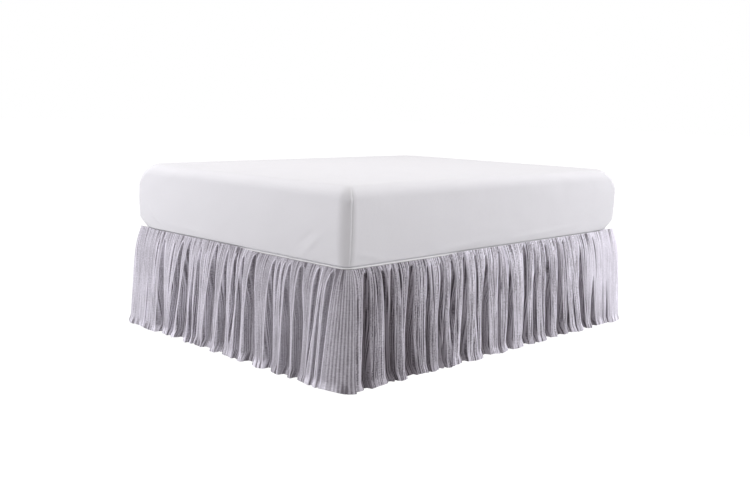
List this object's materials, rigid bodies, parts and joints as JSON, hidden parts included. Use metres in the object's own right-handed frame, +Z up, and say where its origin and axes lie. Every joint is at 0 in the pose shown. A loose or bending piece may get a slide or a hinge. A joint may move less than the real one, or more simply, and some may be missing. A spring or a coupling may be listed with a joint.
{
  "type": "bed skirt on a mattress and box spring",
  "caption": "Gathered bed skirt in crinkled cloth, hanging from a deck sheet held between a mattress and a box spring on a plain metal frame, with its hem just above the floor.",
  "frame": {"origin": "on the floor, under the middle of the whole object's bounding box", "axes": "+Z up, +Y towards the head of the bed, -Y towards the foot, +X towards the right-hand side seen from the foot"},
  "size_m": [1.5188, 2.0484, 0.7563],
  "materials": {
    "mattress_cover": "soft white knitted cover",
    "box_ticking": "plain off-white ticking",
    "deck_cloth": "plain white cotton",
    "skirt_cloth": "matt lavender-grey crinkled gauze",
    "frame_steel": "dark powder coat"
  },
  "bodies": {
    "root": {"mattress": "mattress_cover", "box_spring": "box_ticking", "skirt_deck": "deck_cloth", "skirt_binding": "deck_cloth", "panel_foot": "skirt_cloth", "panel_right": "skirt_cloth", "panel_left": "skirt_cloth", "frame_rail_right": "frame_steel", "frame_rail_left": "frame_steel", "frame_cross_1": "frame_steel", "frame_cross_2": "frame_steel", "frame_cross_3": "frame_steel", "frame_leg_1": "frame_steel", "frame_leg_2": "frame_steel", "frame_leg_3": "frame_steel", "frame_leg_4": "frame_steel", "frame_leg_5": "frame_steel", "frame_leg_6": "frame_steel"}
  },
  "joints": []
}
